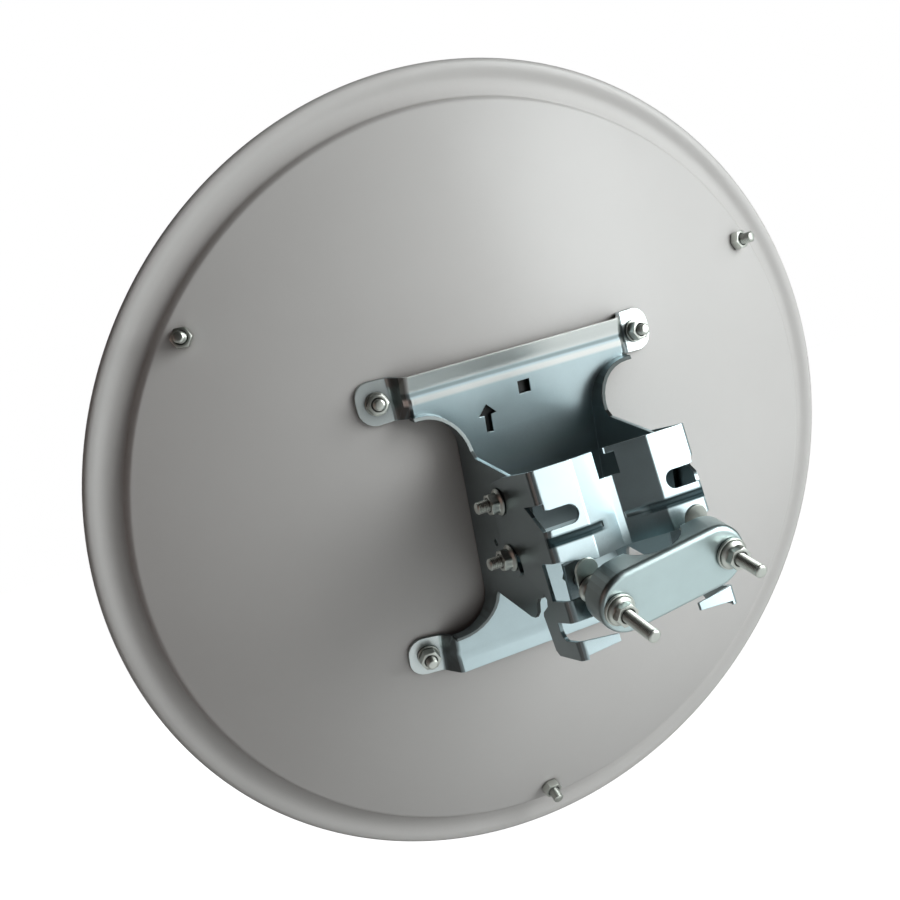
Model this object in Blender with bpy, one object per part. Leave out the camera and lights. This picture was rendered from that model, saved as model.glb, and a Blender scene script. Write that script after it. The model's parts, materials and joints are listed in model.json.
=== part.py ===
"""Small microwave dish with its dish bracket, pole bracket and pole clamp.

Metres, +Z up, the dish toward -Y and the pole behind it, upright. The origin lies on the narrow
flat at the bottom of the pole bracket's V groove, where the pole seats. Shapes are drawn in
millimetres and brought to metres when their object is made.
"""

import math

import bmesh
import bpy
import numpy as np
from mathutils import Matrix, Vector

MM = 0.001
GAP = 0.3

# Reflector, in the dish's own frame: y grows to the rear and the rim lies in the plane y = 0.
RIM_RADIUS = 300.0
BOWL_RADIUS = 266.0
PARABOLA_RADIUS = 289.0
PARABOLA_DEPTH = 76.0
RIM_STEP = 3.5
VERTEX_Y = 75.6
SKIN = 2.0
DISH_STEPS = 96

# Elevation pivot, in the world and in the dish's frame, and how far the dish looks up at rest.
PIVOT = Vector((0.0, -45.8, 15.0))
PIVOT_IN_DISH = Vector((0.0, 138.3, 27.8))
ELEVATION = 17.15

# Lock bolt under the pivot, and the arc slot of the dish bracket that it runs in.
LOCK = Vector((0.0, -53.4, -22.0))
SLOT_START, SLOT_END = -103.5, -62.5
SLOT_HALF = 4.5

# Dish bracket, in the dish's frame.
PLATE = 2.5
WEB_Y = 77.75
BOLT_X, BOLT_Z = 99.4, 92.2
DISH_WALL_X = 51.95
ARC_CENTRE = (79.5, 52.5)

# Rim bolts, in the dish's frame, with angles from +x toward +z.
RIM_BOLT_RADIUS = 260.0
RIM_BOLT_ANGLES = (37.7, 150.9, 271.5)

# Pole bracket.
POLE_WALL_X = 54.95
FLAT_Y = 11.8
GROOVE_HALF = 27.0
TOP_Z, BOTTOM_Z = 29.8, -87.5

# Clamp: both bolts lie loose in the open slots, dropped and rolled.
ROCK = Vector((0.0, 10.55, -40.1))
DROOP, ROLL = 23.5, 7.1
CLAMP_X = 39.7
BACK_LEFT, BACK_RIGHT = 7.5, 15.5
LOCK_NUT_Y = 7.3
CLAMP_BOLT = 87.5
SADDLE_Y = 5.0
TRAY_Y = 38.0
TRAY_HALF_LONG, TRAY_HALF_HIGH = 51.0, 20.5
TRAY_LIP = 17.5
POLE_RELIEF = 21.5

# Hardware for an eight millimetre thread.
SHANK = 4.0
HOLE = 4.35
ACROSS = 13.0
NUT_HIGH = 6.5
FLANGE_NUT_HIGH = 8.0
HEAD_HIGH = 5.3
WASHER_RADIUS, WASHER_THICK = 8.0, 1.5

# Feed, in front of the reflector.
STRUT_LUG = 2.5
FOCUS_Y = RIM_STEP + PARABOLA_DEPTH - SKIN - PARABOLA_RADIUS ** 2 / (4 * PARABOLA_DEPTH)
PLATE_Y = FOCUS_Y - 56.0
ROD = 4.5


def clear_scene():
    for obj in list(bpy.data.objects):
        bpy.data.objects.remove(obj, do_unlink=True)


def material(name, colour, metallic, roughness):
    made = bpy.data.materials.new(name)
    made.use_nodes = True
    shader = made.node_tree.nodes["Principled BSDF"]
    shader.inputs["Base Color"].default_value = (*colour, 1.0)
    shader.inputs["Metallic"].default_value = metallic
    shader.inputs["Roughness"].default_value = roughness
    made.diffuse_color = (*colour, 1.0)
    return made


def place(parent, name, look, bm, at=None, smooth=True):
    """Makes an object from a mesh drawn in millimetres, with its own frame in millimetres too."""
    bmesh.ops.recalc_face_normals(bm, faces=bm.faces)
    bmesh.ops.scale(bm, vec=(MM, MM, MM), verts=bm.verts)
    mesh = bpy.data.meshes.new(name)
    bm.to_mesh(mesh)
    bm.free()
    for face in mesh.polygons:
        face.use_smooth = smooth
    mesh.set_sharp_from_angle(angle=math.radians(35))
    if look:
        mesh.materials.append(look)
    obj = bpy.data.objects.new(name, mesh)
    bpy.context.scene.collection.objects.link(obj)
    obj.parent = parent
    obj.matrix_local = metres(at or Matrix.Identity(4))
    return obj


def metres(matrix):
    out = matrix.copy()
    out.translation = matrix.translation * MM
    return out


def helper(parent, name, bm, at=None):
    obj = place(parent, name, None, bm, at, smooth=False)
    obj.hide_render = True
    obj.display_type = "WIRE"
    return obj


def boolean(obj, other, operation="DIFFERENCE"):
    modifier = obj.modifiers.new(operation.title(), "BOOLEAN")
    modifier.operation = operation
    modifier.solver = "EXACT"
    modifier.object = other


def thicken(obj, thick):
    modifier = obj.modifiers.new("Sheet", "SOLIDIFY")
    modifier.thickness = thick * MM
    modifier.offset = 0.0
    modifier.use_even_offset = True


def frame(name, parent, location, rotation=(0, 0, 0), mode="XYZ"):
    empty = bpy.data.objects.new(name, None)
    bpy.context.scene.collection.objects.link(empty)
    empty.parent = parent
    empty.rotation_mode = mode
    empty.location = Vector(location) * MM
    empty.rotation_euler = [math.radians(a) for a in rotation]
    return empty


def arc(cx, cy, radius, start, end, steps):
    angles = np.radians(np.linspace(start, end, steps + 1))
    return [(cx + radius * math.cos(a), cy + radius * math.sin(a)) for a in angles]


def rounded(points, radii, steps=4):
    """The open line with its inner corners replaced by arcs of the given radii."""
    out = [points[0]]
    for before, corner, after, radius in zip(points, points[1:], points[2:], radii):
        corner = Vector(corner)
        a, b = (Vector(before) - corner), (Vector(after) - corner)
        half = a.angle(b) / 2
        back = radius / math.tan(half)
        centre = corner + (a.normalized() + b.normalized()).normalized() * (radius / math.sin(half))
        start, end = corner + a.normalized() * back - centre, corner + b.normalized() * back - centre
        first = math.atan2(start.y, start.x)
        turn = (math.atan2(end.y, end.x) - first + math.pi) % (2 * math.pi) - math.pi
        for k in range(steps + 1):
            angle = first + turn * k / steps
            out.append((centre.x + radius * math.cos(angle), centre.y + radius * math.sin(angle)))
    return out + [points[-1]]


def point_on(axis, p, level):
    return {"x": (level, p[0], p[1]), "y": (p[0], level, p[1]), "z": (p[0], p[1], level)}[axis]


def move_along(axis, distance):
    return {"x": (distance, 0, 0), "y": (0, distance, 0), "z": (0, 0, distance)}[axis]


def made_verts(made):
    return [v for v in made["geom"] if isinstance(v, bmesh.types.BMVert)]


def prism(outline, axis, low, high):
    """A closed outline in the plane across an axis, extruded along that axis."""
    bm = bmesh.new()
    face = bm.faces.new([bm.verts.new(point_on(axis, p, low)) for p in outline])
    made = bmesh.ops.extrude_face_region(bm, geom=[face])
    bmesh.ops.translate(bm, vec=move_along(axis, high - low), verts=made_verts(made))
    return bm


def curtain(path, axis, low, high):
    """An open line in the plane across an axis, extruded along that axis to a single layer."""
    bm = bmesh.new()
    verts = [bm.verts.new(point_on(axis, p, low)) for p in path]
    edges = [bm.edges.new(pair) for pair in zip(verts, verts[1:])]
    made = bmesh.ops.extrude_edge_only(bm, edges=edges)
    bmesh.ops.translate(bm, vec=move_along(axis, high - low), verts=made_verts(made))
    return bm


def box(x0, x1, y0, y1, z0, z1):
    return prism([(x0, y0), (x1, y0), (x1, y1), (x0, y1)], "z", z0, z1)


def settle(verts, radius, height, hexagonal=False):
    """Moves points round the z axis out to a circle, or to the sides of a hexagon, at a height."""
    for v in verts:
        angle = math.atan2(v.co.y, v.co.x)
        turn = math.degrees(angle) % 60 - 30
        reach = radius / math.cos(math.radians(turn)) if hexagonal else radius
        v.co = (reach * math.cos(angle), reach * math.sin(angle), height)


def turned(rings, hollow):
    """Rings of (radius, height, hexagonal) drawn out one from another, capped or closed on themselves."""
    bm = bmesh.new()
    verts = bmesh.ops.create_circle(bm, segments=24, radius=1)["verts"]
    settle(verts, *rings[0])
    edges = list({e for v in verts for e in v.link_edges})
    if not hollow:
        bmesh.ops.contextual_create(bm, geom=edges)
    for ring in rings[1:] + (rings[:1] if hollow else []):
        grown = bmesh.ops.extrude_edge_only(bm, edges=edges)
        verts = made_verts(grown)
        settle(verts, *ring)
        edges = list({e for v in verts for e in v.link_edges if e.other_vert(v) in verts})
    if hollow:
        bmesh.ops.remove_doubles(bm, verts=bm.verts, dist=0.001)
    else:
        bmesh.ops.contextual_create(bm, geom=edges)
    return bm


def bolt(length):
    """Hexagon bolt: its head below z = 0 and its shank up to the length."""
    return turned([(ACROSS / 2, -HEAD_HIGH, True), (ACROSS / 2, 0, True), (SHANK, 0), (SHANK, length - 1),
                   (SHANK - 0.9, length)], False)


def nut():
    return turned([(SHANK + GAP, 0), (ACROSS / 2, 0, True), (ACROSS / 2, NUT_HIGH, True),
                   (SHANK + GAP, NUT_HIGH)], True)


def flange_nut():
    return turned([(SHANK + GAP, 0), (8.9, 0), (8.9, 1.2), (7.4, 2.4), (ACROSS / 2, 2.8, True),
                   (ACROSS / 2, FLANGE_NUT_HIGH, True), (SHANK + GAP, FLANGE_NUT_HIGH)], True)


def washer(radius=WASHER_RADIUS, thick=WASHER_THICK):
    return turned([(SHANK + GAP, 0), (radius, 0), (radius, thick), (SHANK + GAP, thick)], True)


def drill(depth=12.0):
    return turned([(HOLE, -depth), (HOLE, depth)], False)


def along(direction, origin):
    """A frame whose z axis runs in the direction, from the origin."""
    direction = Vector(direction)
    return Matrix.Translation(Vector(origin)) @ direction.to_track_quat("Z", "Y").to_matrix().to_4x4()


def bowl(r):
    """Rear face of the reflector over its rim plane."""
    return min(VERTEX_Y, RIM_STEP + PARABOLA_DEPTH * (1 - (r / PARABOLA_RADIUS) ** 2))


def bowl_frame(x, z, lift=0.0):
    """A frame on the reflector's rear face, its z axis out along the surface normal."""
    slope = 2 * PARABOLA_DEPTH / PARABOLA_RADIUS ** 2
    normal = Vector((slope * x, 1.0, slope * z)).normalized()
    base = Vector((x, bowl(math.hypot(x, z)), z)) + normal * lift
    return along(normal, base - PIVOT_IN_DISH)


def in_pivot_frame(bm):
    """Shifts a mesh drawn in the dish's frame to the frame of the elevation pivot."""
    bmesh.ops.translate(bm, vec=-PIVOT_IN_DISH, verts=bm.verts)
    return bm


def offset_line(points, distance):
    """The open line moved sideways, to its left, by the distance."""
    out = []
    for k, point in enumerate(points):
        before = Vector(points[max(k - 1, 0)])
        after = Vector(points[min(k + 1, len(points) - 1)])
        one = (Vector(point) - before).normalized() if k else (after - Vector(point)).normalized()
        two = (after - Vector(point)).normalized() if k < len(points) - 1 else one
        side = (Vector((-one.y, one.x)) + Vector((-two.y, two.x))).normalized()
        stretch = 1 / max(0.5, side.dot(Vector((-one.y, one.x))))
        out.append(tuple(Vector(point) + side * distance * stretch))
    return out


def bolt_spots():
    return [(sx * BOLT_X, sz * BOLT_Z) for sx in (1, -1) for sz in (1, -1)]


def rim_spots():
    return [(RIM_BOLT_RADIUS * math.cos(math.radians(a)), RIM_BOLT_RADIUS * math.sin(math.radians(a)))
            for a in RIM_BOLT_ANGLES]


def make_reflector(dish, look):
    flat = PARABOLA_RADIUS * math.sqrt(1 - (VERTEX_Y - RIM_STEP) / PARABOLA_DEPTH)
    rear = [(r, bowl(r)) for r in [0, 30, flat - 4, flat + 6, *np.linspace(flat + 22, BOWL_RADIUS, 8)]]
    step = [(269.5, 13.4), (271.3, 11.2), (273.2, 7.4), (275.0, 3.4), (276.3, 1.0), (277.6, -0.2)]
    band = [(280.0, -0.9), (285.0, -2.0), (289.0, -2.9), (292.0, -2.6), (296.0, -1.2)]
    rear += step + band + [(298.4, -1.4), (299.6, -2.8), (RIM_RADIUS, -5.0)]
    front = offset_line(rear, -SKIN)
    front[0] = (0, front[0][1])
    bm = bmesh.new()
    verts = [bm.verts.new((r, y, 0)) for r, y in rear + front[::-1]]
    edges = [bm.edges.new(pair) for pair in zip(verts, verts[1:])]
    bmesh.ops.spin(bm, geom=verts + edges, cent=(0, 0, 0), axis=(0, 1, 0), dvec=(0, 0, 0),
                   angle=2 * math.pi, steps=DISH_STEPS, use_merge=True)
    bmesh.ops.remove_doubles(bm, verts=bm.verts, dist=0.01)
    obj = place(dish, "reflector", look, in_pivot_frame(bm))
    for k, (x, z) in enumerate(bolt_spots() + rim_spots()):
        boolean(obj, helper(dish, "reflector_hole_%d" % (k + 1), drill(), bowl_frame(x, z)))


def bracket_level(x, z):
    """Middle plane of the dish bracket over the rim plane: web, edge bead, steps and tabs."""
    x, z = abs(x), abs(z)
    web = WEB_Y + np.interp(z, (87.0, 90.5, 94.5, 108.0), (0.0, 0.0, -2.2, 1.2))
    slope = 2 * PARABOLA_DEPTH / PARABOLA_RADIUS ** 2
    seat = bowl(math.hypot(BOLT_X, BOLT_Z)) + (GAP + PLATE / 2) * 1.03
    tab = seat - slope * (BOLT_X * (x - BOLT_X) + BOLT_Z * (z - BOLT_Z))
    return web + (tab - web) * np.interp(x, (80.0, 82.0, 88.5, 90.5), (0.0, 0.1, 0.9, 1.0))


def make_dish_bracket(dish, look):
    half_x = [0, 25, 50, 65, 80, 82, 85.2, 88.5, 90.5, 102, 116]
    half_z = [0, 40, 70, 87, 90.5, 94.5, 101, 110]
    xs = sorted({s * x for x in half_x for s in (1, -1)})
    zs = sorted({s * z for z in half_z for s in (1, -1)})
    bm = bmesh.new()
    grid = [[bm.verts.new((x, bracket_level(x, z), z)) for z in zs] for x in xs]
    for one, two in zip(grid, grid[1:]):
        for a, b, c, d in zip(one, one[1:], two[1:], two):
            bm.faces.new((a, b, c, d))
    plate = place(dish, "dish_bracket", look, in_pivot_frame(bm))
    thicken(plate, PLATE)

    cx, cz = ARC_CENTRE
    fold = cx - DISH_WALL_X
    quarter = arc(cx, cz, fold, 180, 90, 8)
    quarter += arc(102.0, 90.0, 11.5, -90, 0, 5) + arc(102.0, 96.5, 11.5, 0, 90, 5)
    half = [(x, -z) for x, z in reversed(quarter)] + quarter
    outline = half + [(-x, z) for x, z in reversed(half)]
    blank = helper(dish, "bracket_outline", in_pivot_frame(prism(outline, "y", 40, 110)))
    boolean(plate, blank, "INTERSECT")

    half_view = [(70, 83), (84.3, 82), (97, 52), (102, 48.5), (150, 47.3)]
    top = half_view + [(168, 46.4), (173.5, 44), (175, 40)]
    low = [(175, -27), (172, -30), (165.5, -32.5), (162, -37), (160.5, -44), (156, -49),
           (150, -50.3), (100, -48.5), (97, -52), (84.3, -82), (70, -83)]
    view = helper(dish, "wall_view", in_pivot_frame(prism(top + low, "x", -120, 120)))
    bend = [(cx + 4, -cz - fold)] + arc(cx, -cz, fold, 270, 180, 8)
    for side, name in ((1, "left"), (-1, "right")):
        path = [(side * x, z) for x, z in bend + [(x, -z) for x, z in reversed(bend)]]
        wall = helper(dish, "bracket_wall_" + name, in_pivot_frame(curtain(path, "y", 76.9, 176.0)))
        thicken(wall, PLATE)
        boolean(wall, view, "INTERSECT")
        boolean(plate, wall, "UNION")
    return plate


def arc_slot():
    """Outline of the slot that the lock bolt runs in, round the pivot, as y and z."""
    radius = math.hypot(LOCK.y - PIVOT.y, LOCK.z - PIVOT.z)
    first, last = arc(0, 0, radius, SLOT_START, SLOT_END, 1)
    return (arc(0, 0, radius - SLOT_HALF, SLOT_START, SLOT_END, 12)
            + arc(*last, SLOT_HALF, SLOT_END + 180, SLOT_END, 8)[1:-1]
            + arc(0, 0, radius + SLOT_HALF, SLOT_END, SLOT_START, 12)
            + arc(*first, SLOT_HALF, SLOT_START, SLOT_START - 180, 8)[1:-1])


def across(spot, radius=HOLE):
    """A round cutter along x through a spot, long enough for both walls, and its frame."""
    return turned([(radius, -70), (radius, 70)], False), along((1, 0, 0), spot)


def pierce_dish_bracket(dish, plate):
    boolean(plate, helper(dish, "pivot_hole", *across((0, 0, 0))))
    boolean(plate, helper(dish, "arc_slot", prism(arc_slot(), "x", -70, 70)))
    boolean(plate, helper(dish, "small_hole", *across(Vector((0, 112.9, -8.7)) - PIVOT_IN_DISH, 2.6)))
    for k, (x, z) in enumerate(bolt_spots()):
        boolean(plate, helper(dish, "tab_hole_%d" % (k + 1), drill(), bowl_frame(x, z)))
    boolean(plate, helper(dish, "square_hole", in_pivot_frame(box(-6.2, 2.8, 60, 100, 75.4, 84.4))))
    arrow = [(26.2, 55.6), (31.2, 55.8), (31.0, 67.4), (35.2, 67.6), (28.4, 75.2), (21.8, 68.2),
             (26.0, 67.6)]
    boolean(plate, helper(dish, "arrow_hole", in_pivot_frame(prism(arrow, "y", 60, 100))))


def make_dish_hardware(dish, zinc):
    """Four bolts through the tabs and three near the rim, heads on the front of the reflector."""
    for k, (x, z) in enumerate(bolt_spots()):
        place(dish, "bracket_bolt_%d" % (k + 1), zinc, bolt(18.8), bowl_frame(x, z, -SKIN - GAP))
        place(dish, "bracket_washer_%d" % (k + 1), zinc, washer(), bowl_frame(x, z, 3.1))
        place(dish, "bracket_nut_%d" % (k + 1), zinc, nut(), bowl_frame(x, z, 4.9))
    for k, (x, z) in enumerate(rim_spots()):
        seat = bowl_frame(x, z, -SKIN - 3 * GAP - STRUT_LUG)
        place(dish, "rim_bolt_%d" % (k + 1), zinc, bolt(21.0), seat)
        place(dish, "rim_nut_%d" % (k + 1), zinc, nut(), bowl_frame(x, z, GAP))


def make_feed(dish, zinc, cast, plastic, brass):
    """Tripod of three rods, the plate that they carry, and the feed horn with its cap and socket."""
    for k, (x, z) in enumerate(rim_spots()):
        out = Vector((x, 0, z)).normalized()
        seat = bowl_frame(x, z, -SKIN - 2 * GAP - STRUT_LUG)
        inward = (seat.to_3x3().inverted() @ -out)
        turn = Matrix.Rotation(math.atan2(inward.y, inward.x), 4, "Z")
        lug = prism([(-9, -9), (13, -9), (19, -5), (19, 5), (13, 9), (-9, 9)], "z", 0, STRUT_LUG)
        strut = place(dish, "feed_strut_%d" % (k + 1), zinc, lug, seat @ turn, smooth=False)
        start = seat @ turn @ Vector((14.5, 0, 0.6))
        end = out * 50 + Vector((0, PLATE_Y + 4.4, 0)) - PIVOT_IN_DISH
        length = (end - start).length
        rod = turned([(ROD, 0), (ROD, length)], False)
        rod = helper(dish, "strut_rod_%d" % (k + 1), rod, along(end - start, start))
        foot = box(-7, 7, -13, 9, 0, STRUT_LUG)
        foot_frame = along((0, 1, 0), out * 50 + Vector((0, PLATE_Y + GAP, 0)) - PIVOT_IN_DISH)
        foot_turn = foot_frame.to_3x3().inverted() @ out
        spin = Matrix.Rotation(math.atan2(foot_turn.y, foot_turn.x) - math.pi / 2, 4, "Z")
        foot = helper(dish, "strut_foot_%d" % (k + 1), foot, foot_frame @ spin)
        boolean(strut, helper(dish, "lug_hole_%d" % (k + 1), drill(), bowl_frame(x, z)))
        boolean(strut, rod, "UNION")
        boolean(strut, foot, "UNION")
    back = along((0, 1, 0), Vector((0, PLATE_Y, 0)) - PIVOT_IN_DISH)
    plate = [(20.3, -3), (62, -3), (62, 0), (20.3, 0)]
    place(dish, "feed_plate", zinc, turned(plate, True), back)
    horn = [(20, -3.0), (20, GAP), (27, GAP), (27, 3.5), (22, 4.0), (22, 20), (35, 50), (36, 51),
            (36, 56), (35, 56.5)]
    place(dish, "feed_horn", cast, turned(horn, False), back)
    cap = turned([(36.4, 50), (38.6, 50), (38.6, 58), (37.2, 59.8), (20, 61.2), (2, 61.6)], False)
    cap = place(dish, "feed_cap", plastic, cap, back)
    boolean(cap, helper(dish, "cap_hollow", turned([(36.4, 40), (36.4, 56.9)], False), back))
    body = turned([(34, -3 - GAP), (34, -46), (31, -50), (12, -50.6)], False)
    body = place(dish, "feed_body", plastic, body, back)
    boolean(body, helper(dish, "body_bore", turned([(20.4, -6), (20.4, 2)], False), back))
    socket = turned([(9.5, 0), (9.5, 2.5), (7.0, 2.5), (7.0, 7), (7.9, 7.5), (7.9, 17), (7.2, 17.6)],
                    False)
    side = along((0, 0, -1), Vector((0, PLATE_Y - 28, -34.6)) - PIVOT_IN_DISH)
    place(dish, "feed_connector", brass, socket, side)


def make_pole_bracket(zinc):
    half = [(POLE_WALL_X, -72), (POLE_WALL_X, FLAT_Y - 1.25), (GROOVE_HALF, FLAT_Y - 1.25), (2.9, -1.25)]
    path = rounded(half + [(-x, y) for x, y in reversed(half)], [3.2, 2.2, 2.2, 2.2, 2.2, 3.2])
    bracket = place(None, "pole_bracket", zinc, curtain(path, "z", BOTTOM_Z - 4, TOP_Z))
    thicken(bracket, PLATE)
    view = [(30, TOP_Z + 5), (30, -88), (6, -88), (-22.5, -86.5), (-26.2, -83), (-29.4, -61),
            (-28, -58.5), (-19, -54.5), (-16.8, -50), (-19.5, -46), (-44, -31.6)]
    view += arc(LOCK.y, LOCK.z, 13.0, 300, 188, 10) + arc(PIVOT.y, PIVOT.z, 13.0, 188, 98, 8)
    view += [(-31.8, TOP_Z - 0.2), (-31, TOP_Z + 5)]
    boolean(bracket, helper(None, "wall_outline", prism(view, "x", -80, 80)), "INTERSECT")

    lower = [(-70, -51), (70, -51), (70, -27), (55, -27.2), (33, -30.6), (30, -32.2),
             (-30, -32.2), (-33, -30.6), (-55, -27.2), (-70, -27)]
    cuts = [prism(lower, "y", -8.8, 30), box(-29, 29, -40, 30, -100, -50)]
    for s, notch in ((1, [(-9.3, 9), (8, -7.5), (12, -7.5), (12, 9)]),
                     (-1, [(-3.8, 9), (11, -4.5), (12, -4.5), (12, 9)])):
        slot = arc(37.3, -1.5, 6.0, 90, 270, 10) + [(70, -7.5), (70, 9.0), (56.4, 9.0), (55.3, 7.0),
                                                    (53.0, 5.3), (49.5, 4.5)]
        cuts.append(prism([(s * x, z) for x, z in slot], "y", 8.0, 30))
        cuts.append(prism(notch, "x", *sorted((s * 52.5, s * 70))))
        notch = [(26, -64.5), (70, -64.5), (70, -76.2), (54, -76.2), (26, -79.8)]
        cuts.append(prism([(s * x, z) for x, z in notch], "y", -5, 30))
        under = [(26, -84.0), (52, -85.6), (52, -95), (26, -95)]
        cuts.append(prism([(s * x, z) for x, z in under], "y", 2, 30))
        wall_slot = [(0, -64.5), (-10.8, -64.5), (-10.8, -70.5), (-9.0, -74.2), (-5.5, -76.2), (0, -76.2)]
        cuts.append(prism(wall_slot, "x", *sorted((s * 50, s * 70))))
        key = arc(-43.3, -23.5, 3.6, 0, 180, 6) + arc(-43.3, -30.5, 3.6, 180, 360, 6)
        cuts.append(prism(key, "x", *sorted((s * 50, s * 60))))
    cuts.append(prism([(-7.5, 12), (7.5, 12), (7.5, 40), (-1.5, 40), (-1.5, 26), (-7.5, 26)], "y", -10, 12))
    for k, cut in enumerate(cuts):
        boolean(bracket, helper(None, "bracket_cut_%d" % (k + 1), cut))
    for s in (1, -1):
        crease = turned([(2.3, -4), (2.3, 28)], False)
        at = along((s, 0, 0), (s * GROOVE_HALF, FLAT_Y + 1.3, -14))
        boolean(bracket, helper(None, "crease_flat_%d" % s, crease, at))
        slope = Vector((-s * (GROOVE_HALF - 2.9), -FLAT_Y, 0)).normalized()
        out = Vector((-s * 0.44, 1.0, 0)).normalized() * 1.3
        crease = turned([(2.3, 0), (2.3, 13.0 if s > 0 else 26.0)], False)
        at = along(slope, Vector((s * GROOVE_HALF, FLAT_Y, -14)) + out)
        boolean(bracket, helper(None, "crease_slope_%d" % s, crease, at))
    for name, spot in (("pivot", PIVOT), ("lock", LOCK)):
        boolean(bracket, helper(None, name + "_bore", *across(spot)))


def make_pivot_hardware(zinc):
    """Short bolts from inside out through both pairs of walls, on each side."""
    inside = DISH_WALL_X - PLATE / 2 - GAP
    outside = POLE_WALL_X + PLATE / 2 + GAP
    for name, spot in (("pivot", PIVOT), ("lock", LOCK)):
        for s, side in ((1, "left"), (-1, "right")):
            head = along((s, 0, 0), spot + Vector((s * inside, 0, 0)))
            seat = along((s, 0, 0), spot + Vector((s * outside, 0, 0)))
            place(None, "%s_bolt_%s" % (name, side), zinc, bolt(70 - inside), head)
            place(None, "%s_nut_%s" % (name, side), zinc, flange_nut(), seat)


def make_clamp(rock, slide, zinc):
    for s, side, back in ((1, "left", BACK_LEFT), (-1, "right", BACK_RIGHT)):
        x = s * CLAMP_X

        def up_to(y):
            return along((0, 1, 0), (x, y, 0))

        plate = box(x - 8, x + 8, -back - 3, -back, -13, 13)
        plate = place(rock, "clamp_back_plate_" + side, zinc, plate, smooth=False)
        boolean(plate, helper(rock, "back_plate_hole_" + side, drill(30), up_to(-back)))
        place(rock, "clamp_bolt_" + side, zinc, bolt(CLAMP_BOLT), up_to(-back - 3 - GAP))
        saddle = arc(x, 13.0, 7.5, 0, 180, 10) + arc(x, 3.5, 7.5, 180, 360, 10)
        saddle = place(rock, "clamp_saddle_" + side, zinc, prism(saddle, "y", SADDLE_Y, SADDLE_Y + 2.0))
        boolean(saddle, helper(rock, "saddle_hole_" + side, drill(30), up_to(SADDLE_Y)))
        place(rock, "clamp_lock_nut_" + side, zinc, flange_nut(), up_to(LOCK_NUT_Y))
        place(slide, "clamp_washer_" + side, zinc, washer(10.0, 2.0), up_to(TRAY_Y + GAP))
        place(slide, "clamp_nut_" + side, zinc, flange_nut(), up_to(TRAY_Y + 2 * GAP + 2.0))

    inset = PLATE / 2
    reach, high = TRAY_HALF_LONG - inset, TRAY_HALF_HIGH - inset
    outline = arc(reach - high, 0, high, -90, 90, 16) + arc(high - reach, 0, high, 90, 270, 16)
    bm = bmesh.new()
    cap = bm.faces.new([bm.verts.new((x, TRAY_Y - inset, z)) for x, z in outline])
    rim = list(cap.edges)
    made = bmesh.ops.extrude_edge_only(bm, edges=rim)
    bmesh.ops.translate(bm, vec=(0, -TRAY_LIP, 0), verts=made_verts(made))
    bmesh.ops.bevel(bm, geom=rim, offset=2.4, segments=3, profile=0.5, affect="EDGES",
                    material=-1)
    tray = place(slide, "clamp_plate", zinc, bm)
    thicken(tray, PLATE)
    front = TRAY_Y - inset - TRAY_LIP
    relief = helper(slide, "pole_relief", turned([(POLE_RELIEF, -40), (POLE_RELIEF, 40)], False),
                    along((0, 0, 1), (0, front - 6.8, 0)))
    boolean(tray, relief)
    for s in (1, -1):
        boolean(tray, helper(slide, "clamp_hole_%d" % s, drill(), along((0, 1, 0), (s * CLAMP_X, TRAY_Y, 0))))


def main():
    clear_scene()
    zinc = material("zinc", (0.60, 0.64, 0.64), 0.9, 0.35)
    paint = material("reflector_paint", (0.55, 0.55, 0.55), 0.0, 0.4)
    cast = material("feed_metal", (0.70, 0.70, 0.69), 0.9, 0.4)
    plastic = material("feed_plastic", (0.82, 0.82, 0.80), 0.0, 0.5)
    nickel = material("connector_metal", (0.75, 0.72, 0.64), 0.95, 0.3)
    dish = frame("dish_pivot", None, PIVOT, (-ELEVATION, 0, 0))
    rock = frame("clamp_pivot", None, ROCK, (-DROOP, ROLL, 0), "YXZ")
    slide = frame("clamp_slide", rock, (0, 0, 0))
    make_reflector(dish, paint)
    plate = make_dish_bracket(dish, zinc)
    pierce_dish_bracket(dish, plate)
    make_dish_hardware(dish, zinc)
    make_feed(dish, zinc, cast, plastic, nickel)
    make_pole_bracket(zinc)
    make_pivot_hardware(zinc)
    make_clamp(rock, slide, zinc)


main()
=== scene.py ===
"""Microwave dish antenna with its brackets and pole clamp, seen from behind on a pale ground."""
import json
import math

import bmesh
import bpy
from mathutils import Euler, Matrix, Vector

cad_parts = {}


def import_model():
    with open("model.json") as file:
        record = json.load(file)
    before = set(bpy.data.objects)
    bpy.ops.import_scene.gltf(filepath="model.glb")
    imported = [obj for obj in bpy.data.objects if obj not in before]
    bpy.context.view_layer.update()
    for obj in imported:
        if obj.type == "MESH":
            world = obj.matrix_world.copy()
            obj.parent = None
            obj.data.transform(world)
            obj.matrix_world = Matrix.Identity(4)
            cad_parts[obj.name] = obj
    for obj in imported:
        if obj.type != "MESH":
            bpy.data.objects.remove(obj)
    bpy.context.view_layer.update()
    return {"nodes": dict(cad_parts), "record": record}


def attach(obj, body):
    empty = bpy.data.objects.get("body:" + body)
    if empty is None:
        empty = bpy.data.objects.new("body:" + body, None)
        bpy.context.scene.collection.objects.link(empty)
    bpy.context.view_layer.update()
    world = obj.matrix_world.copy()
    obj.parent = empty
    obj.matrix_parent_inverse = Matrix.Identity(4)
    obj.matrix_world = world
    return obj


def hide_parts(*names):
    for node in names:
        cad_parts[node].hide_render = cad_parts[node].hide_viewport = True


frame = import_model()
NODES = frame["nodes"]
RECORD = frame["record"]
BODY_OF = {node: body for body, nodes in RECORD["behaviour"]["bodies"].items() for node in nodes}
SLOT_OF = {part["node"]: part["material_slot"] for part in RECORD["subparts"]}
JOINTS = {joint["name"]: joint for joint in RECORD["behaviour"]["joints"]}
SIDES = ((1, "left"), (-1, "right"))


# Places in millimetres, as in the solids

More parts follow.
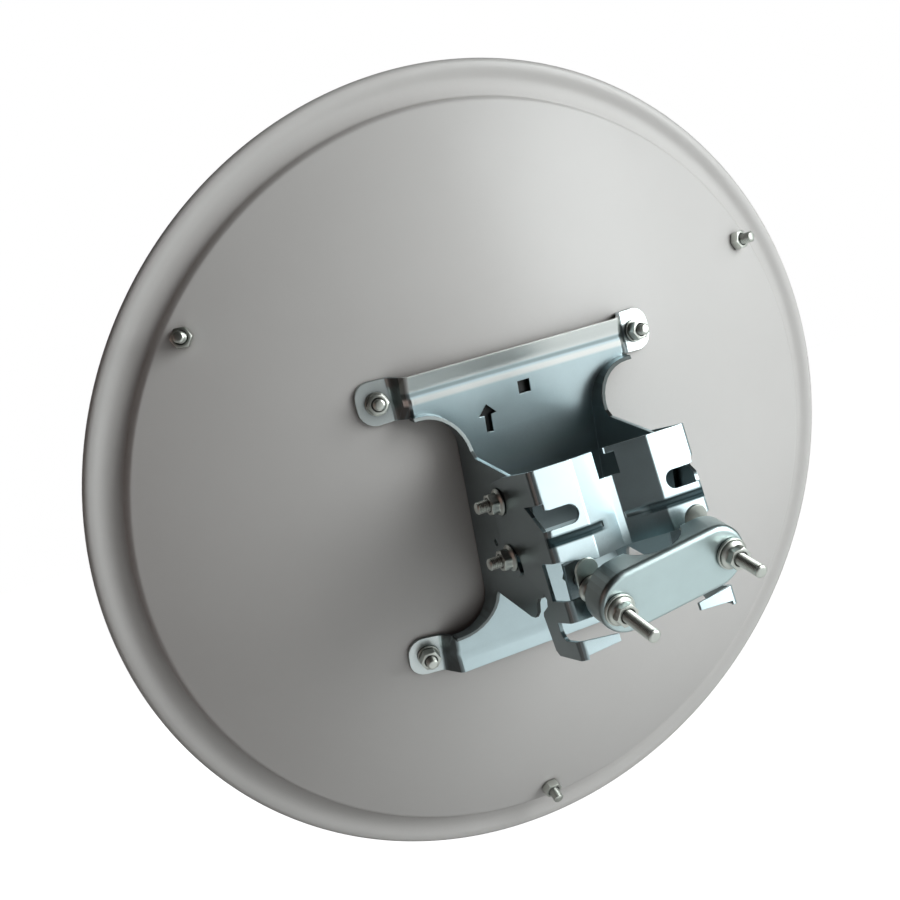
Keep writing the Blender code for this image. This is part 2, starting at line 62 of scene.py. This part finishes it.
MM = 0.001
PIVOT = Vector(JOINTS["elevation"]["pos_m"]) / MM
LOCK = Vector((0.0, -53.4, -22.0))
WALL_HEAD_X = 50.4
WALL_SEAT_X = 56.5

# The dish's own frame has y to the rear and its rim at y = 0

DISH_TILT = 17.15
PIVOT_IN_DISH = Vector((0.0, 138.3, 27.8))
DISH = (Matrix.Translation(PIVOT) @ Matrix.Rotation(math.radians(-DISH_TILT), 4, "X")
        @ Matrix.Translation(-PIVOT_IN_DISH))
TO_DISH = DISH.inverted()
PARABOLA_RADIUS = 289.0
PARABOLA_DEPTH = 76.0
RIM_STEP = 3.5
VERTEX_Y = 75.6
SKIN = 2.0
BOWL_END = 269.0
TAB_BOLT_X = 99.4
TAB_BOLT_Z = 92.2
RIM_BOLT_RADIUS = 260.0
RIM_BOLT_ANGLES = (37.7, 150.9, 271.5)
WALL_FOOT_Y = 80.5
ARC_END_Y = 100.0

# The clamp's own frame lies between its slots, with y along its bolts

CLAMP_DROOP = 23.5
CLAMP_ROLL = 7.1
CLAMP = (Matrix.Translation(Vector(JOINTS["clamp_rock"]["pos_m"]) / MM)
         @ Matrix.Rotation(math.radians(-CLAMP_DROOP), 4, "X")
         @ Matrix.Rotation(math.radians(CLAMP_ROLL), 4, "Y"))
CLAMP_BOLT_X = 39.7
CLAMP_HEAD_Y = {"left": -10.8, "right": -18.8}
CLAMP_LOCK_Y = 7.3
CLAMP_WASHER_Y = 38.3
CLAMP_NUT_Y = 40.6

# Heights over the bowl's rear face

TAB_HEAD_LIFT = -2.3
TAB_WASHER_LIFT = 3.1
TAB_NUT_LIFT = 4.9
RIM_HEAD_LIFT = -5.4
RIM_NUT_LIFT = 0.3

# Hardware with an eight millimetre thread

TAB_BOLT = 18.8
RIM_BOLT = 21.0
WALL_BOLT = 22.6
CLAMP_BOLT = 87.5
CLAMP_BOLT_PLAIN = 8.0
SHANK = 4.0
PITCH = 1.25
THREAD_DEPTH = 0.62
THREAD_CREST = 0.12
THREAD_ROOT = 0.15
TIP = 1.1
HALF_ACROSS = 6.5
HEAD_HEIGHT = 5.3
HEAD_FACE = HALF_ACROSS * 0.94
NUT_HEIGHT = 6.5
FLANGE_NUT_HEIGHT = 8.0
NUT_FACE = HALF_ACROSS * 0.95
CHAMFER = 0.55
CHAMFER_START = 0.96
BORE = 4.3
BORE_EASE = 0.6
MOUTH = BORE + BORE_EASE
WASHER_EASE = 0.15
ROUND_SEGMENTS = 48


def along(direction, origin):
    """A frame whose z axis runs in the direction, from the origin."""
    turn = Vector(direction).to_track_quat("Z", "Y").to_matrix()
    return Matrix.Translation(Vector(origin)) @ turn.to_4x4()


def bowl(r):
    """Rear face of the reflector over its rim plane."""
    return min(VERTEX_Y, RIM_STEP + PARABOLA_DEPTH * (1 - (r / PARABOLA_RADIUS) ** 2))


def bowl_frame(x, z, lift=0.0):
    """A frame on the reflector's rear face, its z axis out along the surface normal."""
    slope = 2 * PARABOLA_DEPTH / PARABOLA_RADIUS ** 2
    normal = Vector((slope * x, 1.0, slope * z)).normalized()
    return DISH @ along(normal, Vector((x, bowl(math.hypot(x, z)), z)) + normal * lift)


# Making pieces

def piece(name, bm, material, node, at=Matrix.Identity(4), sharp=35.0):
    """Makes a piece from a mesh drawn in millimetres and puts it in the place of a node."""
    bmesh.ops.recalc_face_normals(bm, faces=bm.faces)
    bmesh.ops.transform(bm, matrix=Matrix.Scale(MM, 4) @ at, verts=bm.verts)
    for face in bm.faces:
        face.smooth = True
    mesh = bpy.data.meshes.new(name)
    bm.to_mesh(mesh)
    bm.free()
    mesh.set_sharp_from_angle(angle=math.radians(sharp))
    mesh.materials.append(material)
    obj = bpy.data.objects.new(name, mesh)
    bpy.context.scene.collection.objects.link(obj)
    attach(obj, BODY_OF[node])
    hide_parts(node)
    return obj


def settle(verts, radius, height, hexagonal=False, chamfer=0.0):
    """Moves points round the z axis to a circle, or to a hexagon whose corners drop by a chamfer."""
    for v in verts:
        angle = math.atan2(v.co.y, v.co.x)
        turn = math.degrees(angle) % 60 - 30
        reach = radius / math.cos(math.radians(turn)) if hexagonal else radius
        drop = chamfer * (reach - radius * CHAMFER_START)
        v.co = (reach * math.cos(angle), reach * math.sin(angle), height - drop)


def made_verts(made):
    return [v for v in made["geom"] if isinstance(v, bmesh.types.BMVert)]


def turned(rings, hollow):
    """Draws rings of (radius, height, hexagonal, chamfer) out one from another, capped or in a loop."""
    bm = bmesh.new()
    verts = bmesh.ops.create_circle(bm, segments=ROUND_SEGMENTS, radius=1)["verts"]
    settle(verts, *rings[0])
    edges = list({e for v in verts for e in v.link_edges})
    if not hollow:
        bmesh.ops.contextual_create(bm, geom=edges)
    for ring in rings[1:] + (rings[:1] if hollow else []):
        verts = made_verts(bmesh.ops.extrude_edge_only(bm, edges=edges))
        settle(verts, *ring)
        edges = list({e for v in verts for e in v.link_edges if e.other_vert(v) in verts})
    if hollow:
        bmesh.ops.remove_doubles(bm, verts=bm.verts, dist=0.001)
    else:
        bmesh.ops.contextual_create(bm, geom=edges)
    return bm


# Hardware

def thread(start, end):
    """Rings of a thread's ridges from one height to another, ending in a chamfered tip."""
    rings = [(SHANK, start)]
    root = SHANK - THREAD_DEPTH
    z = start
    while z < end - 2 * TIP:
        rings += [(SHANK, z + THREAD_CREST), (root, z + (PITCH - THREAD_ROOT) / 2),
                  (root, z + (PITCH + THREAD_ROOT) / 2), (SHANK, z + PITCH - THREAD_CREST)]
        z += PITCH
    return rings + [(SHANK, end - TIP), (SHANK - 1.0, end - 0.1), (SHANK - 1.4, end)]


def bolt(length, plain=0.0):
    """Hexagon bolt: a chamfered head below z = 0, then a plain shank and its thread."""
    head = [(HEAD_FACE, -HEAD_HEIGHT), (HALF_ACROSS, -HEAD_HEIGHT, True, -CHAMFER),
            (HALF_ACROSS, 0, True), (SHANK, 0)]
    return turned(head + thread(plain, length), False)


def nut():
    return turned([(BORE, BORE_EASE), (MOUTH, 0), (NUT_FACE, 0), (HALF_ACROSS, 0, True, -CHAMFER),
                   (HALF_ACROSS, NUT_HEIGHT, True, CHAMFER), (NUT_FACE, NUT_HEIGHT), (MOUTH, NUT_HEIGHT),
                   (BORE, NUT_HEIGHT - BORE_EASE)], True)


def flange_nut():
    flange = [(8.7, 0), (8.9, 0.25), (8.9, 1.0), (8.7, 1.25), (7.7, 1.9), (7.0, 2.5)]
    top = FLANGE_NUT_HEIGHT
    body = [(HALF_ACROSS, 3.0, True), (HALF_ACROSS, top, True, CHAMFER), (NUT_FACE, top)]
    return turned([(BORE, 0)] + flange + body + [(MOUTH, top), (BORE, top - BORE_EASE)], True)


def washer(radius=8.0, thick=1.5):
    mouth = BORE + WASHER_EASE
    return turned([(BORE, WASHER_EASE), (mouth, 0), (radius - 0.25, 0), (radius, 0.2),
                   (radius, thick - 0.35), (radius - 0.4, thick), (mouth, thick),
                   (BORE, thick - WASHER_EASE)], True)


def fit(node, ending, bm, at):
    """Puts a piece of hardware in the place of its node."""
    piece(node + ending, bm, HARDWARE, node, at)


def tab_hardware():
    """Bolts, washers and nuts on the dish bracket's four tabs."""
    spots = [(sx * TAB_BOLT_X, sz * TAB_BOLT_Z) for sx in (1, -1) for sz in (1, -1)]
    for k, (x, z) in enumerate(spots, 1):
        fit("bracket_bolt_%d" % k, "_threaded", bolt(TAB_BOLT), bowl_frame(x, z, TAB_HEAD_LIFT))
        fit("bracket_washer_%d" % k, "_turned", washer(), bowl_frame(x, z, TAB_WASHER_LIFT))
        fit("bracket_nut_%d" % k, "_chamfered", nut(), bowl_frame(x, z, TAB_NUT_LIFT))


def rim_hardware():
    """Bolts and nuts that hold the feed's rods near the rim."""
    for k, angle in enumerate(RIM_BOLT_ANGLES, 1):
        x = RIM_BOLT_RADIUS * math.cos(math.radians(angle))
        z = RIM_BOLT_RADIUS * math.sin(math.radians(angle))
        fit("rim_bolt_%d" % k, "_threaded", bolt(RIM_BOLT), bowl_frame(x, z, RIM_HEAD_LIFT))
        fit("rim_nut_%d" % k, "_chamfered", nut(), bowl_frame(x, z, RIM_NUT_LIFT))


def pivot_hardware():
    """Bolts and flanged nuts that the dish tilts about and is locked by."""
    for name, spot in (("pivot", PIVOT), ("lock", LOCK)):
        for s, side in SIDES:
            outward = (s, 0, 0)
            head = along(outward, spot + Vector((s * WALL_HEAD_X, 0, 0)))
            seat = along(outward, spot + Vector((s * WALL_SEAT_X, 0, 0)))
            fit("%s_bolt_%s" % (name, side), "_threaded", bolt(WALL_BOLT), head)
            fit("%s_nut_%s" % (name, side), "_flanged", flange_nut(), seat)


def clamp_hardware():
    """Long bolts of the clamp, with their lock nuts, washers and nuts."""
    for s, side in SIDES:
        def up_to(y):
            return CLAMP @ along((0, 1, 0), (s * CLAMP_BOLT_X, y, 0))
        long_bolt = bolt(CLAMP_BOLT, CLAMP_BOLT_PLAIN)
        fit("clamp_bolt_" + side, "_threaded", long_bolt, up_to(CLAMP_HEAD_Y[side]))
        fit("clamp_lock_nut_" + side, "_flanged", flange_nut(), up_to(CLAMP_LOCK_Y))
        fit("clamp_washer_" + side, "_turned", washer(10.0, 2.0), up_to(CLAMP_WASHER_Y))
        fit("clamp_nut_" + side, "_flanged", flange_nut(), up_to(CLAMP_NUT_Y))


# Reflector

def eased(points, steps):
    """A smooth line through the points."""
    out = []
    ends = [points[0]] + list(points) + [points[-1]]
    for a, b, c, d in zip(ends, ends[1:], ends[2:], ends[3:]):
        a, b, c, d = (Vector(p) for p in (a, b, c, d))
        for k in range(steps):
            t = k / steps
            out.append(tuple(b + (c - a) * (t / 2) + (a * 2 - b * 5 + c * 4 - d) * (t * t / 2)
                             + (b * 3 - a - c * 3 + d) * (t ** 3 / 2)))
    return out + [tuple(points[-1])]


def sideways(points, distance):
    """The line moved to one side by a distance."""
    out = []
    for k, point in enumerate(points):
        before = Vector(points[max(k - 1, 0)])
        after = Vector(points[min(k + 1, len(points) - 1)])
        ahead = (after - before).normalized()
        out.append((point[0] - ahead.y * distance, point[1] + ahead.x * distance))
    return out


def reflector():
    """Pressed bowl with a flat centre, a step down to its rim band and a rolled edge."""
    rear = [(r, bowl(r)) for r in (0, 30, 61)] + [(r, bowl(r)) for r in range(72, 261, 9)]
    step = [(BOWL_END - 3.0, bowl(BOWL_END - 3.0)), (BOWL_END, bowl(BOWL_END)), (271.2, 12.6), (272.3, 11.3),
            (272.9, 9.0), (273.2, 5.0), (273.5, 1.8), (274.2, 0.6), (275.4, 0.1)]
    band = [(278.5, -0.45), (282.5, -1.1), (285.5, -1.35), (287.5, -1.2), (289.5, -0.8), (291.5, -0.35),
            (293.5, -0.1), (295.5, -0.25)]
    roll = [(297.3, -0.7), (298.8, -1.8), (299.7, -3.3)]
    lip = [(300.0, -4.0), (300.0, -5.0)]
    rear += eased(step + band + roll, 2) + lip
    front = sideways(rear, -SKIN)
    front[0] = (0, front[0][1])
    bm = bmesh.new()
    verts = [bm.verts.new((r, y, 0)) for r, y in rear + front[::-1]]
    edges = [bm.edges.new(pair) for pair in zip(verts, verts[1:])]
    bmesh.ops.spin(bm, geom=verts + edges, cent=(0, 0, 0), axis=(0, 1, 0), dvec=(0, 0, 0),
                   angle=2 * math.pi, steps=288, use_merge=True)
    bmesh.ops.remove_doubles(bm, verts=bm.verts, dist=0.01)
    piece("reflector_skin", bm, COAT, "reflector", DISH, 50.0)


# Pressed sheet and the feed: the solids' own shapes, shaded smooth across their bends

WELD = 0.00001
FLAT_WITHIN = 0.8
SHARP_FROM = {"dish_bracket": 18.0, "pole_bracket": 24.0}
SHARP_ELSE = 32.0


def smoothed(node, material):
    """A copy of a solid with its flats in one piece and its bends shaded round."""
    bm = bmesh.new()
    bm.from_mesh(NODES[node].data)
    bmesh.ops.remove_doubles(bm, verts=bm.verts, dist=WELD)
    bmesh.ops.dissolve_degenerate(bm, edges=bm.edges, dist=WELD)
    bmesh.ops.dissolve_limit(bm, angle_limit=math.radians(FLAT_WITHIN), verts=bm.verts, edges=bm.edges)
    bmesh.ops.scale(bm, vec=(1 / MM, 1 / MM, 1 / MM), verts=bm.verts)
    obj = piece(node + "_pressed", bm, material, node, sharp=SHARP_FROM.get(node, SHARP_ELSE))
    if SLOT_OF[node] == "zinc_sheet":
        shade = obj.modifiers.new("Even shading", "WEIGHTED_NORMAL")
        shade.keep_sharp = True
        shade.weight = 50 if node == "clamp_plate" else 80
    return obj


def shade_cut_edges(mesh):
    """Paints shade on the cut edges of the dish bracket's walls, darkest at the upper right and past the
    arcs.
    """
    mesh.materials.append(CUT_EDGE_PAINTED_SHADE)
    mesh.materials.append(CUT_EDGE_DEEP_PAINTED_SHADE)
    for face in mesh.polygons:
        centre = TO_DISH @ (face.center / MM)
        outward = (TO_DISH.to_3x3() @ face.normal).y > 0.05
        if centre.y > WALL_FOOT_Y and outward:
            upper_right = face.center.x < 0 < face.center.z
            face.material_index = 2 if upper_right or centre.y > ARC_END_Y else 1


# Materials

class Look:
    """A material, built a node at a time."""

    def __init__(self, name):
        self.material = bpy.data.materials.new(name)
        self.material.use_nodes = True
        self.tree = self.material.node_tree
        self.shader = self.tree.nodes["Principled BSDF"]
        self.place = self.add("ShaderNodeTexCoord").outputs["Object"]

    def add(self, kind, **settings):
        node = self.tree.nodes.new(kind)
        for name, value in settings.items():
            setattr(node, name, value)
        return node

    def link(self, out, into):
        self.tree.links.new(out, into)

    def fill(self, socket, value):
        """Sets a socket to a number or a colour, or links it."""
        if isinstance(value, (int, float)):
            socket.default_value = value
        elif isinstance(value, tuple):
            socket.default_value = (*value, 1.0)
        else:
            self.link(value, socket)

    def set(self, **values):
        """Fills the shader's inputs and gives the material."""
        for name, value in values.items():
            self.fill(self.shader.inputs[name.replace("_", " ")], value)
        return self.material

    def stretched(self, scale):
        """The place scaled along each axis."""
        node = self.add("ShaderNodeMapping")
        node.inputs["Scale"].default_value = scale
        self.link(self.place, node.inputs["Vector"])
        return node.outputs["Vector"]

    def inside(self, matrix):
        """The place in another frame, which is given in millimetres."""
        scaled = matrix.copy()
        scaled.translation = matrix.translation * MM
        turn = scaled.inverted()
        node = self.add("ShaderNodeMapping")
        node.inputs["Location"].default_value = turn.translation
        node.inputs["Rotation"].default_value = turn.to_euler("XYZ")
        self.link(self.place, node.inputs["Vector"])
        return node.outputs["Vector"]

    def axes(self, vector):
        node = self.add("ShaderNodeSeparateXYZ")
        self.link(vector, node.inputs[0])
        return node.outputs["X"], node.outputs["Y"], node.outputs["Z"]

    def facing(self):
        """The parts of the face's own normal."""
        return self.axes(self.add("ShaderNodeNewGeometry").outputs["True Normal"])

    def noise(self, scale, detail, rough, vector=None):
        node = self.add("ShaderNodeTexNoise")
        node.inputs["Scale"].default_value = scale
        node.inputs["Detail"].default_value = detail
        node.inputs["Roughness"].default_value = rough
        self.link(vector or self.place, node.inputs["Vector"])
        return node.outputs["Fac"]

    def ramp(self, value, stops):
        node = self.add("ShaderNodeValToRGB")
        band = node.color_ramp
        while len(band.elements) < len(stops):
            band.elements.new(0.5)
        for element, (position, colour) in zip(band.elements, stops):
            element.position = position
            element.color = (*colour, 1.0)
        self.link(value, node.inputs["Fac"])
        return node.outputs["Color"]

    def spread(self, value, low, high, start=0.3, end=0.7):
        """Runs from low to high as the value goes from start to end."""
        node = self.add("ShaderNodeMapRange")
        node.inputs["From Min"].default_value = start
        node.inputs["From Max"].default_value = end
        node.inputs["To Min"].default_value = low
        node.inputs["To Max"].default_value = high
        self.link(value, node.inputs["Value"])
        return node.outputs["Result"]

    def profile(self, place, points):
        """Follows a line through points of (place in millimetres, level)."""
        start = points[0][0]
        end = points[-1][0]
        share = self.spread(place, 0.0, 1.0, start * MM, end * MM)
        return self.ramp(share, [((at - start) / (end - start), (level,) * 3) for at, level in points])

    def within(self, place, low, high):
        """One between two places in millimetres and zero outside them."""
        node = self.add("ShaderNodeMath", operation="COMPARE")
        node.inputs[1].default_value = (low + high) / 2 * MM
        node.inputs[2].default_value = (high - low) / 2 * MM
        self.link(place, node.inputs[0])
        return node.outputs[0]

    def rearward(self, full):
        """One on faces that look to the rear by at least the full share, and zero on those that don't."""
        return self.spread(self.facing()[1], 0.0, 1.0, 0.0, full)

    def shelter(self, distance):
        """Low where other surfaces close in within a distance in metres, and one in the open."""
        node = self.add("ShaderNodeAmbientOcclusion", samples=8)
        node.inputs["Distance"].default_value = distance
        return self.spread(node.outputs["AO"], 0.0, 1.0, 0.25, 0.85)

    def absolute(self, value):
        node = self.add("ShaderNodeMath", operation="ABSOLUTE")
        self.link(value, node.inputs[0])
        return node.outputs[0]

    def times(self, *values):
        out = values[0]
        for value in values[1:]:
            node = self.add("ShaderNodeMath", operation="MULTIPLY")
            self.link(out, node.inputs[0])
            self.link(value, node.inputs[1])
            out = node.outputs[0]
        return out

    def plus(self, value, share, more):
        """The value with a share of another added."""
        node = self.add("ShaderNodeMath", operation="MULTIPLY_ADD")
        node.inputs[1].default_value = share
        self.link(more, node.inputs[0])
        self.link(value, node.inputs[2])
        return node.outputs[0]

    def mix(self, factor, one, two):
        node = self.add("ShaderNodeMix", data_type="RGBA")
        for index, value in ((0, factor), (6, one), (7, two)):
            self.fill(node.inputs[index], value)
        return node.outputs[2]

    def rounded(self, radius):
        """Normals that turn softly over the edges, within a radius in metres."""
        node = self.add("ShaderNodeBevel", samples=6)
        node.inputs["Radius"].default_value = radius
        return node.outputs["Normal"]

    def bump(self, height, distance, strength):
        node = self.add("ShaderNodeBump")
        node.inputs["Distance"].default_value = distance
        node.inputs["Strength"].default_value = strength
        self.link(height, node.inputs["Height"])
        return node.outputs["Normal"]


def shade_of(tint, share):
    return tuple(part * share for part in tint)


def grey_coat():
    """The reflector's paint, with painted warm shade close to the bracket where other surfaces close in, and
    painted black shade behind the holes in its web.
    """
    look = Look("grey_coat")
    cloud = look.noise(6.0, 4.0, 0.6)
    grain = look.noise(900.0, 2.0, 0.6)
    peel = look.noise(260.0, 2.0, 0.5)
    paint = look.ramp(cloud, [(0.3, (0.63, 0.613, 0.60)), (0.7, (0.66, 0.643, 0.63))])
    dim = look.mix(0.62, paint, (0.10, 0.065, 0.05))
    x, y, z = look.axes(look.inside(DISH))
    painted_shade_behind_web = look.times(look.within(x, -45.0, 45.0), look.within(z, -88.0, 88.0),
                            look.within(y, 70.8, 77.2), look.rearward(0.1))
    # Painted shade: the paint turns warm and dark where other surfaces close in, as beside the bracket.
    tone = look.mix(look.shelter(0.10), dim, paint)
    # Painted shade: near black on the rear face behind the web, seen through its holes.
    tone = look.mix(painted_shade_behind_web, tone, (0.006, 0.006, 0.006))
    return look.set(Base_Color=tone, Roughness=look.spread(grain, 0.30, 0.38),
                    Normal=look.bump(peel, 0.0002, 0.06), IOR=1.5)


def painted_light_and_shade_on_bead(look, tone, tint):
    """Paints highlights on the crown of the dish bracket's upper bead, along its ridge and on its tabs, and
    paints shade in the valley between ridge and crown and in the bends beside the tabs.
    """
    x, y, z = look.axes(look.inside(DISH))
    across = look.absolute(x)
    on_web = look.times(look.within(y, 70.5, 82.5), look.within(x, -85.0, 85.0))
    valley = look.profile(z, [(93.25, 0.0), (94.25, 0.7), (95.5, 0.7), (96.75, 0.0)])
    crown = look.profile(z, [(96.0, 0.0), (97.5, 0.85), (106.25, 0.85), (108.75, 1.0)])
    ridge = look.profile(z, [(87.5, 0.0), (89.25, 1.0), (91.5, 1.0), (93.25, 0.0)])
    tabs = look.profile(across, [(89.0, 0.0), (92.0, 0.6)])
    bends = look.profile(across, [(81.0, 0.0), (83.0, 0.7), (88.0, 0.7), (90.0, 0.0)])
    # Painted shade in the valley, and painted highlights on the crown and the tabs.
    tone = look.mix(look.times(valley, on_web), tone, shade_of(tint, 0.35))
    tone = look.mix(look.times(crown, on_web), tone, (0.98, 1.0, 0.97))
    tone = look.mix(tabs, tone, (0.98, 1.0, 0.97))
    # Painted shade in the bends beside the tabs, and a painted highlight along the ridge.
    tone = look.mix(bends, tone, (0.05, 0.045, 0.04))
    return look.mix(look.times(ridge, on_web), tone, (0.98, 1.0, 0.98))


def crease_on_flats(look):
    """Where the pressed crease crosses the wide flats of the pole bracket; the mask for the painted shade
    along it.
    """
    x, y, z = look.axes(look.place)
    crease = look.profile(z, [(-18.56, 0.0), (-17.36, 1.0), (-12.08, 1.0), (-10.4, 0.0)])
    beside_groove = look.profile(look.absolute(x), [(11.0, 0.0), (18.0, 1.0)])
    return look.times(crease, beside_groove, look.within(y, 0.0, 14.0), look.rearward(0.6))


def web_shade_behind_flats(look):
    """Where the dish bracket's web is boxed in by the walls and the pole bracket; the mask for the painted
    shade there.
    """
    x, y, z = look.axes(look.place)
    boxed = look.profile(z, [(-110.0, 0.0), (-60.0, 0.25), (-34.0, 0.45), (-10.0, 0.80), (28.0, 0.75),
                             (60.0, 0.0)])
    return look.times(boxed, look.within(x, -57.0, 57.0), look.within(y, -118.0, -2.0), look.rearward(0.6))


def zinc(name, tint, rough, stretch=(1.0, 1.0, 1.0), reach=0.02, side_shade_from=None, pressed=False):
    """Zinc-plated metal, with painted shade where other surfaces close in and on sheet that faces the dim
    side, and on pressed sheet painted light and shade on the bead, the crease and the boxed-in web.
    """
    look = Look(name)
    spangle = look.noise(70.0, 3.0, 0.6)
    streak = look.noise(60.0, 4.0, 0.6, look.stretched(stretch))
    finish = look.spread(streak, rough - 0.02, rough + 0.02)
    tone = look.mix(look.spread(spangle, 0.0, 1.0), shade_of(tint, 0.96), tint)
    # Painted shade: sheet that faces the dim side is darkened.
    if side_shade_from is not None:
        side_shade = look.spread(look.facing()[0], 0.0, 0.60, side_shade_from, 0.9)
        tone = look.mix(side_shade, tone, (0.10, 0.095, 0.085))
    if pressed:
        crease = crease_on_flats(look)
        # Painted highlights and shade on the dish bracket's upper bead and its tabs.
        tone = painted_light_and_shade_on_bead(look, tone, tint)
        # Painted shade along the crease on the pole bracket's flats; the same mask also makes the crease
        # rougher.
        tone = look.mix(crease, tone, (0.050, 0.085, 0.095))
        # Painted shade: near black on the web where it is boxed in behind the pole bracket.
        tone = look.mix(web_shade_behind_flats(look), tone, (0.012, 0.012, 0.011))
        finish = look.plus(finish, 0.40, crease)
    # Painted shade where other surfaces close in.
    tone = look.mix(look.shelter(reach), shade_of(tint, 0.22), tone)
    return look.set(Base_Color=tone, Metallic=1.0, Roughness=finish, Normal=look.rounded(0.0006))


def plastic():
    """White plastic of the feed, with a fine grain."""
    look = Look("white_plastic")
    grain = look.noise(700.0, 2.0, 0.6)
    cloud = look.noise(9.0, 3.0, 0.5)
    tone = look.ramp(cloud, [(0.3, (0.72, 0.72, 0.70)), (0.7, (0.76, 0.76, 0.74))])
    return look.set(Base_Color=tone, Roughness=0.5, Normal=look.bump(grain, 0.0002, 0.2))


STREAKS = (1.0, 1.0, 10.0)
COAT = grey_coat()
# Zinc looks: painted shade on faces turned towards the dim side, and painted shade where surfaces close in
# within the reach.
SHEET = zinc("zinc_sheet", (0.66, 0.80, 0.84), 0.30, STREAKS, reach=0.10, side_shade_from=0.55, pressed=True)
CLAMP_SHEET = zinc("zinc_clamp_sheet", (0.76, 0.92, 0.93), 0.32, STREAKS, reach=0.03, side_shade_from=0.15)
HARDWARE = zinc("zinc_hardware", (0.80, 0.83, 0.77), 0.34)
# Painted shade on the dish bracket's cut edges: a dark copy of the zinc, and a darker copy at the upper
# right and past the arcs.
CUT_EDGE_PAINTED_SHADE = zinc("cut_edge", (0.28, 0.31, 0.31), 0.45, side_shade_from=0.3)
CUT_EDGE_DEEP_PAINTED_SHADE = zinc("cut_edge_shaded", (0.07, 0.08, 0.08), 0.45, side_shade_from=0.3)
LOOK_OF_SLOT = {
    "reflector_paint": COAT,
    "zinc_sheet": SHEET,
    "zinc_hardware": HARDWARE,
    "feed_frame": zinc("feed_frame", (0.62, 0.66, 0.66), 0.33),
    "feed_metal": zinc("cast_aluminium", (0.72, 0.72, 0.71), 0.42),
    "feed_plastic": plastic(),
    "connector_metal": zinc("nickel", (0.74, 0.71, 0.64), 0.25),
}


def dress():
    """Gives every node its material, and puts the finer pieces in the nodes' places."""
    for name, node in NODES.items():
        node.data.materials.clear()
        node.data.materials.append(LOOK_OF_SLOT[SLOT_OF[name]])
    reflector()
    tab_hardware()
    rim_hardware()
    pivot_hardware()
    clamp_hardware()
    for name, slot in SLOT_OF.items():
        if name == "reflector" or (slot == "zinc_hardware" and "saddle" not in name):
            continue
        obj = smoothed(name, CLAMP_SHEET if name == "clamp_plate" else LOOK_OF_SLOT[slot])
        if name == "dish_bracket":
            shade_cut_edges(obj.data)


# Camera, ground and light, in metres

CAMERA_PLACE = (0.3576, 0.7262, 0.0635)
CAMERA_TURN = (89.434, 16.826, 159.934)
GROUND_Z = -0.40


def camera():
    """The camera where the photograph's was, matched to the rim and the brackets."""
    data = bpy.data.cameras.new("camera")
    data.lens = 52.0
    data.sensor_width = 36.0
    data.clip_end = 100.0
    obj = bpy.data.objects.new("camera", data)
    turn = Euler([math.radians(angle) for angle in CAMERA_TURN])
    obj.matrix_world = Matrix.Translation(CAMERA_PLACE) @ turn.to_matrix().to_4x4()
    bpy.context.scene.collection.objects.link(obj)
    bpy.context.scene.camera = obj


def softbox(name, place, size, watts, colour, aim=(0, 0, 0)):
    data = bpy.data.lights.new(name, "AREA")
    data.shape = "RECTANGLE"
    data.size, data.size_y = size
    data.energy = watts
    data.color = colour
    obj = bpy.data.objects.new(name, data)
    obj.location = place
    obj.rotation_mode = "QUATERNION"
    obj.rotation_quaternion = (Vector(aim) - Vector(place)).to_track_quat("-Z", "Y")
    obj.visible_camera = False
    bpy.context.scene.collection.objects.link(obj)


def lights():
    """Tall pale windows behind the dish on its right, panels round it, and a warm fill on its left."""
    softbox("left_fill", (2.4, 0.5, 0.1), (1.8, 1.8), 2.0, (1.0, 0.66, 0.57))
    softbox("front_panel", (0.9, -2.4, 0.7), (2.0, 1.6), 13.0, (1.0, 0.99, 0.97))
    softbox("window_near", (-1.0, 2.4, 0.25), (1.2, 2.0), 7.4, (1.0, 1.0, 0.99))
    softbox("window_mid", (-1.95, 1.95, 0.5), (1.4, 2.4), 58.0, (0.96, 1.0, 1.0))
    softbox("window_far", (-2.65, 0.85, 0.5), (1.5, 2.4), 15.0, (0.96, 1.0, 1.0))
    softbox("low_panel", (-0.8, 0.8, -0.385), (2.2, 1.8), 4.3, (0.94, 1.0, 1.0), aim=(-0.8, 0.8, 1.0))
    softbox("high_panel", (-0.8, 1.6, 1.9), (2.0, 2.0), 1.0, (0.97, 1.0, 1.0))


def ground():
    """A wide pale floor, which the camera sees as plain white."""
    bm = bmesh.new()
    bmesh.ops.create_circle(bm, cap_ends=True, segments=96, radius=30.0)
    bmesh.ops.translate(bm, vec=(0, 0, GROUND_Z), verts=bm.verts)
    mesh = bpy.data.meshes.new("ground")
    bm.to_mesh(mesh)
    bm.free()
    obj = bpy.data.objects.new("ground", mesh)
    bpy.context.scene.collection.objects.link(obj)
    look = Look("pale_ground")
    seen = look.add("ShaderNodeLightPath").outputs["Is Camera Ray"]
    mesh.materials.append(look.set(Base_Color=(0.75, 0.75, 0.75), Roughness=0.9,
                                   Emission_Color=(1.0, 1.0, 1.0), Emission_Strength=seen))


def world():
    """Dim warm room for the light, white where the camera sees it."""
    made = bpy.data.worlds.new("studio")
    bpy.context.scene.world = made
    made.use_nodes = True
    tree = made.node_tree
    room = tree.nodes["Background"]
    room.inputs["Color"].default_value = (1.0, 0.88, 0.84, 1.0)
    room.inputs["Strength"].default_value = 0.008
    white = tree.nodes.new("ShaderNodeBackground")
    white.inputs["Color"].default_value = (1.0, 1.0, 1.0, 1.0)
    seen = tree.nodes.new("ShaderNodeLightPath")
    both = tree.nodes.new("ShaderNodeMixShader")
    tree.links.new(seen.outputs["Is Camera Ray"], both.inputs[0])
    tree.links.new(room.outputs[0], both.inputs[1])
    tree.links.new(white.outputs[0], both.inputs[2])
    tree.links.new(both.outputs[0], tree.nodes["World Output"].inputs["Surface"])


dress()
camera()
ground()
world()
lights()
bpy.context.scene.view_settings.view_transform = "Standard"
